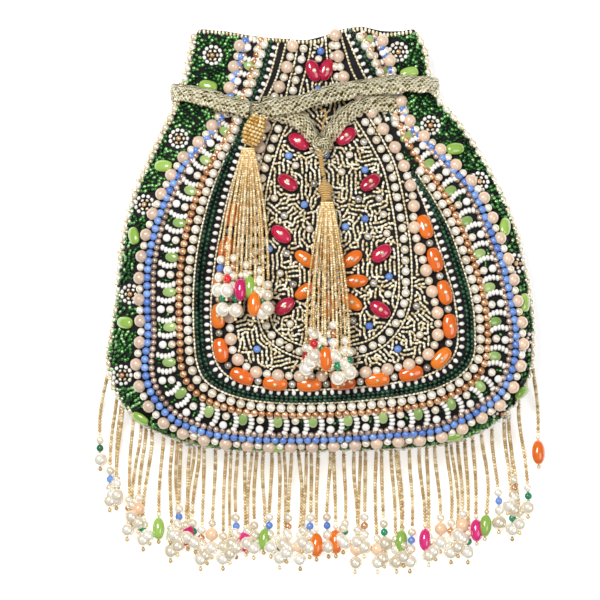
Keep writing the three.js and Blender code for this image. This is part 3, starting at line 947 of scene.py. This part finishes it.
# %% Border motifs
FLOWERS = [
    (-48.5, 114), (-64, 75.5), (-79.5, 45), (-85.8, 4), (-89.6, -33), (-58, -62.3), (36.5, 115.5),
    (51.3, 81.5), (73.5, 55.5), (90, 18), (94.6, -18), (84, -50.5), (40, -63.5),
]
LIMES = [
    (-50.5, 99.5, -12), (-70.6, 62.5, -10), (-83.6, 30.5, -60), (-87.6, -9.2, -8),
    (-81, -52, -15), (41.5, 105.5, 15), (62.3, 70.4, 10), (84.6, 34.5, 70), (93.4, 0, 80),
    (92.2, -40.5, -5), (62, -60, 5), (-20, -65, 0),
]
FLOWER_RINGS = ((6, 2.2, "gold", (1.6, 1.3, 1.4)), (11, 4.0, "white", (2.0, 1.9, 1.7)))
for x, y in FLOWERS:
    sew(("copper", "round"), (x, y), (1, 0), (2.4, 2.4, 2.2))
    for count, reach, kind, size in FLOWER_RINGS:
        for k in range(count):
            way = way_of(2 * math.pi * k / count)
            sew((kind, "seed"), (x + reach * way[0], y + reach * way[1]), (-way[1], way[0]), size)
for x, y, tilt in LIMES:
    sew(("lime", "barrel"), (x, y), way_of(math.radians(tilt)), (8.6, 5.8, 4.0))
print(len(FLOWERS), "flowers and", len(LIMES), "lime ovals")

# %% Green seeds
border = np.vstack([edge, outer_arch[::-1]])
green_spots, green_ways = scribble(border, 1.9, 1.65, 1.2)
sew(("green", "seed"), green_spots, green_ways, (1.9, 1.7, 1.6))
print(len(green_spots), "green seeds in the border")

# %% Green rows down the steep lower side
STEEP = (12.4, 18.6)  # the stations between which the side is steep
ROW_STEP, TOP_ROOM = 1.75, 3.4
steep = (station > STEEP[0]) & (station < STEEP[1])
shares = np.linspace(0, 1, 30)
heights_across = np.array([
    cloth(*between(e, o, shares[:, None]).T) for e, o in zip(edge[steep], outer_arch[steep])])
for level in np.arange(SEAM_Z + 2.6, heights_across.max() - TOP_ROOM, ROW_STEP):
    reached = heights_across[:, -1] > level + TOP_ROOM
    share = np.array([np.interp(level, h, shares) for h in heights_across[reached]])
    path = between(edge[steep][reached], outer_arch[steep][reached], share[:, None])
    if len(path) > 3:
        xy, ahead = walk(path, 1.8)
        sew(("green", "seed"), xy, ahead, (1.75, 1.7, 1.6))
print("rows reach", round(float(heights_across.max()), 1), "mm up the side")

# %% Pearls and whip stitches on the seam
SEAM_PITCH = 4.9
seam_line = np.column_stack([edge, np.full(len(edge), SEAM_Z + 2.2)])
outside = np.column_stack([beside(edge, -1), seam_line[:, 2]])
spots = np.arange(0, lengths(edge)[-1], SEAM_PITCH)
spots = spots[below_mouth(at_lengths(edge, spots), 2.5)]
pearls_at = at_lengths(seam_line, spots)
away = unit(at_lengths(outside, spots) - pearls_at)
seam_way = np.roll(away, 1, axis=1) * (-1, 1, 1)
put("seam", ("pearl", "pearl"), pearls_at, seam_way, (0, 0, 1), (4.0,) * 3)
stitches = at_lengths(seam_line, spots + SEAM_PITCH / 2)
for reach, height in ((-0.9, 2.4), (0.6, 1.1), (1.5, -0.9)):
    stitch_at = stitches + away * reach + (0, 0, height)
    put("seam", ("gold", "seed"), stitch_at, away, (0, 0, 1), (1.6,) * 3)
print(len(spots), "pearls on the seam")

# %% Small seeds between the bands, and along the mouth
between_bands = np.vstack([outer_arch, rope_arch[::-1]])
filler_spots, filler_ways = scribble(between_bands, 1.8, 1.5, 1.2)
sew(("green", "seed"), filler_spots, filler_ways, (1.6, 1.3, 1.2))
rim = at_lengths(mouth_line, np.arange(1, lengths(mouth_line)[-1] - 1, 1.75)) - (0, 0.9)
sew(("gold", "seed"), rim, (0, 1), (2.2, 1.5, 1.5), margin=0)
print(len(rim), "seeds along the mouth")

# %% [markdown]
# ## Strings of beads
# The fringe and the tassels are threads of tiny gold seeds with a few larger beads at the end. One
# function threads any of them: it walks down a curve, sets seeds until only the length of the end
# beads is left, and then sets those.

# %% Thread one string
END_BEADS = {
    "drop": "pearl 4.6 pearl 6.6",
    "pearl": "pearl 4.2 pearl 5.2 pearl 6.9",
    "blue": "pearl 4.2 blue 3.6 pearl 4.8 pearl 6.9",
    "emerald": "pearl 4.2 emerald 3.6 pearl 6.9",
    "copper": "pearl 4.2 copper 3.6 pearl 4.8 pearl 6.9",
    "peach": "pearl 4.0 peach 6.2 pearl 6.6",
    "red": "pearl 4.2 red 3.8 pearl 6.9",
    "lime": "gold 2.6 lime 10.5",
    "magenta": "gold 2.6 magenta 10.5",
    "orange": "gold 2.6 orange 11.5",
}
END_SHAPES = {"pearl": "pearl", "lime": "oval", "magenta": "oval", "orange": "oval"}
SEED_PITCH, SEED_LENGTH = 0.72, 0.76  # shares of a seed's width, along the thread


def end_beads(end):
    """Colour, shape and length of each bead at the end of a string."""
    words = END_BEADS[end].split()
    return [(c, END_SHAPES.get(c, "round"), float(size)) for c, size in zip(words[::2], words[1::2])]


def thread(part, line, end, seed_kind, seed):
    """Seeds down a line of 3-D points, and the end beads of the named kind after them."""
    beads = end_beads(end)
    at = lengths(line)[-1] - sum(size for _, _, size in beads) - seed

    def set_down(kind, where, size):
        spots = at_lengths(line, where)
        spots[:, 2] = np.maximum(spots[:, 2], size[2] / 2 + 0.1)
        ahead = at_lengths(line, where + 0.3) - at_lengths(line, where - 0.3)
        put(part, kind, spots, unit(ahead + (0, -1e-6, 0)), (0, 0, 1), size)

    seeds = np.arange(seed / 2, at, seed * SEED_PITCH)
    set_down((seed_kind, "seed"), seeds, (seed * SEED_LENGTH, seed, seed))
    for colour, shape, size in beads:
        wide = size * 0.55 if shape == "oval" else size
        set_down((colour, shape), np.array([at + size / 2]), (size, wide, wide))
        at += size
    set_down((seed_kind, "seed"), np.array([at + seed / 2]), (seed, seed, seed))


# %% [markdown]
# ## Fringe
# About sixty strings hang from the lower seam, some of them in pairs. They drop from the seam to the
# surface that the bag lies on and run out over it. Each follows a curve of its own, a little off
# the straight one, as loose threads do, and other strings carry a short second end of pearls.

# %% The fringe
FRINGE_HALF_WIDTH = 101
FRINGE_LONG, FRINGE_SHORT = 62, 55
RUN_OUT = np.array([0, 5, 11, 19, 29, 39, 49, 66])  # the way out from the seam
RUN_HEIGHT = np.array([13.5, 12.6, 9.6, 4.8, 1.6, 1.3, 2.6, 3.1])  # the string's height there
ENDS_IN_ORDER = (
    "emerald blue emerald copper peach emerald lime pearl blue magenta emerald copper peach pearl "
    "blue magenta pearl lime blue emerald copper peach blue orange blue orange emerald peach copper "
    "peach emerald pearl lime blue magenta emerald peach copper peach emerald magenta lime blue "
    "emerald copper emerald orange"
).split()
FRINGE_COUNT = len(ENDS_IN_ORDER)
lower = np.vstack([left_edge[::-1], right_edge[1:]])
TWIN_ROOM, TWIN_SHORTER, SECOND_END = 3.4, 3, 15
for k, end in enumerate(ENDS_IN_ORDER):
    x = (2 * k / (FRINGE_COUNT - 1) - 1) * FRINGE_HALF_WIDTH + dice.uniform(-1.3, 1.3)
    hang = lower[np.argmin(np.abs(lower[:, 0] - x * 0.962) + 2 * (lower[:, 1] > -18))]
    has_oval = END_SHAPES.get(end) == "oval"
    long = (FRINGE_LONG if k % 2 and not has_oval else FRINGE_SHORT) + dice.uniform(-2, 1.5)
    sway = dice.uniform(-1, 1, 3)
    drift = (x - hang[0]) * smooth_between(0, 30, RUN_OUT)
    wander = 0.9 * sway[0] * np.sin(RUN_OUT / 9 + 3 * sway[1]) + 1.3 * sway[2] * (RUN_OUT / 60) ** 2
    path = np.column_stack([hang[0] + drift + wander, hang[1] + 0.5 - RUN_OUT, RUN_HEIGHT])
    route = through(path, 10)
    thread("fringe", at_lengths(route, np.linspace(0, long, 80)), end, "strand", 2.1)
    if not has_oval and k % 3:
        side = 1 if k % 2 else -1
        whole = k % 3 == 1
        first, gap = (0, 2.2) if whole else (long - SECOND_END, 0)
        share = np.linspace(0, 1, 24)
        aside = side * (gap + (TWIN_ROOM - gap) * share)
        apart = np.column_stack([aside, 0 * share, 2.6 * share**3])
        twin = at_lengths(route, first + share * (long - TWIN_SHORTER - first)) + apart
        thread("fringe", twin, "drop", "strand", 1.9)
print(FRINGE_COUNT, "strings in the fringe")

# %% [markdown]
# ## Tassels
# The left tassel hangs from a cap wrapped in rows of gold seeds, and the right one from a wrapped
# knot of gold thread on a short link. Their strings fan out and lie over one another. Each tassel
# can swing at its top and lift at its cap or knot, so the pieces above and below that point ride
# on different bodies. A loose end of gold thread curls up above the drawstring's knot.

# %% Tassel strings
def tassel(part, top, low_left, low_right, count, ends):
    """Strings from a top point, fanned to ends between two points, in three layers."""
    top, low_left, low_right = (np.array(p, float) for p in (top, low_left, low_right))
    for k in range(count):
        share = (k + 0.5) / count
        layer = k % 3
        foot = low_left + (low_right - low_left) * share + (0, dice.uniform(-7, 5))
        xs = [top[0] + (share - 0.5) * 5, 0, 0, 0, foot[0]]
        bow = (share - 0.5) * 9 + dice.uniform(-1, 1)
        for i, t in ((1, 0.3), (2, 0.55), (3, 0.8)):
            xs[i] = xs[0] + (foot[0] - xs[0]) * t + bow * math.sin(math.pi * t) * 0.6
        ys = [top[1] + (foot[1] - top[1]) * t for t in (0, 0.3, 0.55, 0.8, 1)]
        over = 5.8 - 1.6 * abs(share - 0.5) * 2
        heights = [top[2], over + layer * 1.2, 4.8 + layer * 1.4, 5.7 + layer * 1.5, 7 + layer * 1.7]
        line = through(lifted(zip(xs, ys, heights)), 14)
        thread(part, evenly(line, 90), ends[k % len(ends)], "tassel", 1.5)


tassel("left_tassel", (-32.2, 71.2, 7.2), (-47, -3), (-22.5, -3), 12,
       ["blue", "emerald", "red", "copper", "emerald", "magenta", "pearl", "lime", "orange",
        "pearl", "emerald", "pearl"])
tassel("right_tassel", (3.8, 46.4, 5.4), (-6.5, -33), (15, -33), 12,
       ["red", "copper", "red", "pearl", "emerald", "orange", "blue", "copper", "emerald", "peach",
        "pearl", "emerald"])
print("tassel strings threaded")

# %% The left tassel's cap of seeds
CAP_TOP, CAP_FOOT = np.array([-27.0, 85.6]), np.array([-31.9, 72.0])
cap_line = lifted([(*CAP_TOP, 8.8), (*CAP_FOOT, 7.4)])
cap_way = unit(cap_line[1] - cap_line[0])
cap_side = unit(np.cross(cap_way, (0, 0, 1)))
cap_up = np.cross(cap_side, cap_way)
CAP_RADII, CAP_PITCH = (2.8, 3.3, 3.9, 4.3, 4.5, 4.3, 3.9, 3.2), 1.72
for ring, half in enumerate(CAP_RADII):
    centre = cap_line[0] + cap_way * (0.9 + ring * CAP_PITCH)
    angle = np.linspace(0, 2 * np.pi, int(half * 3.6), endpoint=False) + ring * 0.3
    outward = np.cos(angle)[:, None] * cap_side + np.sin(angle)[:, None] * cap_up
    put("cap", ("honey", "seed"), centre + outward * half * (1, 1, 0.9), np.cross(outward, cap_way),
        outward, (1.8, 1.9, 1.8))
print("rows on the cap:", len(CAP_RADII))

# %% Gold thread: the cap's core, the link, the knot and a loose end
SILK_TURNS = 7.0  # radians of the winding to one millimetre
f = Finish("gold_silk", Roughness=0.4)
wrap = f.math("SINE", f.stored("along") * SILK_TURNS + f.stored("around") * 0.6)
fibre = f.node("ShaderNodeTexNoise", None, {"Scale": 1500.0})
f.drive("Base Color", f.ramp(wrap * 0.3 + fibre, (0.15, linear(170, 118, 54)),
                             (0.75, linear(244, 204, 132))))
f.bump(wrap, 0.8, 0.0004)
gold_silk = f.material


def round_piece(name, points, halves, material, body):
    line = through(lifted(points), 10)
    where = np.linspace(0, 1, len(line))
    half = np.interp(where, np.linspace(0, 1, len(halves)), halves)
    return sweep(name, line, half, half * 0.92, material, body, sides=18, across=(1, 0, 0))


cap_core = round_piece("left_tassel_core", [(*CAP_TOP, 8.8), (-29.4, 79, 8.1), (*CAP_FOOT, 7.4)],
                       [1.6, 2.6, 3.2, 3.6, 3.6, 3.2, 2.4], gold_silk, "left_cap")
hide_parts("left_tassel_cap")
link = round_piece("right_tassel_thread", [(0.8, 70, 4.4), (1.4, 63, 5), (2.3, 57.8, 5.2)],
                   [0.9, 1.0, 0.9, 1.0], gold_silk, "right_link")
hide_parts("right_tassel_link")
head = round_piece("right_tassel_knot", [(2.4, 57.2, 5.2), (3.0, 52, 5.2), (3.7, 46.6, 5.2)],
                   [0.5, 1.2, 1.3, 2.6, 3.4, 3.5, 3.0, 2.2, 2.4, 2.7], gold_silk, "right_strands")
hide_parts("right_tassel_head")
loose_end = round_piece("thread_end", [(0.6, 87.6, 5.4), (2.6, 88, 6.8), (3.4, 85.6, 6.6),
                                       (2.2, 82.6, 6), (1.9, 79, 6.4)], [0.3, 0.5, 0.5, 0.45],
                        gold_silk, "bag")
print("gold thread:", cap_core.name, link.name, head.name, loose_end.name)

# %% [markdown]
# ## The drawstring's knot
# Both legs of the inner braid end in one small overhand knot. A trefoil curve is an overhand knot
# with its ends joined, so a thick tube along a trefoil reads as the real one.

# %% The knot
turn = np.linspace(0, 2 * np.pi, 91)
trefoil = np.column_stack([
    np.sin(turn) + 2 * np.sin(2 * turn), np.cos(turn) - 2 * np.cos(2 * turn), -np.sin(3 * turn)])
knot_centre = lifted([(1.6, 71.8, 4.0)])[0]
knot = sweep("braid_knot", knot_centre + trefoil * (1.25, 1.2, 1.1), 2.1, 1.7, braid_metal, "bag",
             sides=14, across=(0.1, 0.2, 1))
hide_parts("inner_drawstring_knot")
print("knot:", knot.name, "at", [round(float(v), 1) for v in knot_centre])

# %% [markdown]
# ## From piles to meshes
# All beads are now known. Each pile becomes one mesh, made from arrays, because adding thousands
# of objects one by one would be slow to build and slow to draw.

# %% Build the meshes
PARTS = {  # body, slot, the colour of seed that stands for solid pieces, and those pieces
    "front": ("bag", "beadwork", "green", ["front_panel"]),
    "seam": ("bag", "beadwork", None, []),
    "fringe": ("bag", "gold_beads", "strand",
               [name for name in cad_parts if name.startswith("fringe_strand")]),
    "left_tassel": ("left_strands", "gold_beads", "tassel", ["left_tassel_strands"]),
    "right_tassel": ("right_strands", "gold_beads", "tassel", ["right_tassel_strands"]),
    "cap": ("left_cap", "gold_beads", None, []),
}


def bead_mesh(part, kind, heap):
    colour, shape = kind
    body, slot, main_colour, stands_for = PARTS[part]
    points, faces = SHAPES[shape]
    centres, frames, sizes = (np.concatenate(a) for a in zip(*heap))
    n, m = len(centres), len(points)
    vertices = np.einsum("nkd,nmk->nmd", frames, points[None] * sizes[:, None]) + centres[:, None]
    corners = np.concatenate([np.array(f) for f in faces])
    sides = np.array([len(f) for f in faces])
    loops_all = (corners[None] + np.arange(n)[:, None] * m).ravel()
    sides_all = np.tile(sides, n)
    mesh = bpy.data.meshes.new(f"{part}_{colour}_{shape}")
    mesh.vertices.add(n * m)
    mesh.vertices.foreach_set("co", to_frame(vertices.reshape(-1, 3)).ravel())
    mesh.loops.add(len(loops_all))
    mesh.loops.foreach_set("vertex_index", loops_all)
    mesh.polygons.add(len(sides_all))
    mesh.polygons.foreach_set("loop_start", np.concatenate([[0], np.cumsum(sides_all)[:-1]]))
    mesh.polygons.foreach_set("use_smooth", np.ones(len(sides_all), bool))
    mesh.update(calc_edges=True)
    mesh.materials.append(FINISHES[colour])
    piece = show(mesh.name, mesh)
    tone = dice.uniform(0, 1, n)
    if colour == "quartz":  # the stones are paler towards the right
        tone = tone * 0.4 + 0.6 * np.clip(centres[:, 0] / 190 + 0.5, 0, 1)
    store(piece, "tone", np.repeat(tone, m))
    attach(piece, body)
    if kind == (main_colour, "seed"):
        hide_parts(*stands_for)
    return n, (sides - 2).sum() * n


total_beads = total_triangles = 0
for (part, kind), heap in sorted(piles.items()):
    beads, triangles = bead_mesh(part, kind, heap)
    total_beads += beads
    total_triangles += triangles
print(total_beads, "beads,", total_triangles, "triangles, in", len(piles), "meshes")

# %% [markdown]
# ## Floor and light
# A plain white floor under a sky that is bright overhead and dark low down, so that every round
# bead is light on top and darker at its rim. One light from the upper left gives each bead its
# bright spot, and a larger, weaker one from the other side fills the shade beside the pouch.

# %% The floor
floor_finish = Finish("floor", Roughness=0.9, Emission_Color=(1, 1, 1, 1), Emission_Strength=0.55)
grain = floor_finish.node("ShaderNodeTexNoise", None, {"Scale": 3.0})
floor_finish.drive("Base Color", floor_finish.ramp(grain, (0, (0.93,) * 3), (1, (0.95,) * 3)))
FLOOR_HALF, FLOOR_Z = 4.0, -0.0003
corners = [(x * FLOOR_HALF, y * FLOOR_HALF, FLOOR_Z) for x, y in ((-1, -1), (1, -1), (1, 1), (-1, 1))]
floor = show("floor", new_mesh("floor", corners, [(0, 1, 2, 3)], floor_finish.material))
print("floor, m:", FLOOR_HALF * 2)

# %% The light
world = bpy.data.worlds.new("studio")
world.use_nodes = True
sky = Nodes(world.node_tree)
direction = sky.node("ShaderNodeTexCoord", out=0)
upwards = sky.node("ShaderNodeSeparateXYZ", None, {0: direction}, out=2)
background = sky.tree.nodes["Background"]
sky.join(background.inputs["Color"], sky.ramp(upwards, (0.15, (0.06,) * 3), (0.85, (1, 1, 1))))
sky.join(background.inputs["Strength"], 0.42)
bpy.context.scene.world = world


def soft_light(name, place, width, power):
    data = bpy.data.lights.new(name, "AREA")
    data.shape, data.size, data.energy = "DISK", width, power
    lamp = show(name, data)
    lamp.location = place
    lamp.rotation_euler = Vector(place).to_track_quat("Z", "Y").to_euler()


soft_light("key", (-0.34, 0.4, 1.05), 0.5, 12)
soft_light("fill", (0.7, -0.25, 0.9), 0.7, 3.5)
bpy.context.scene.view_settings.view_transform = "Standard"
print("view transform:", bpy.context.scene.view_settings.view_transform)
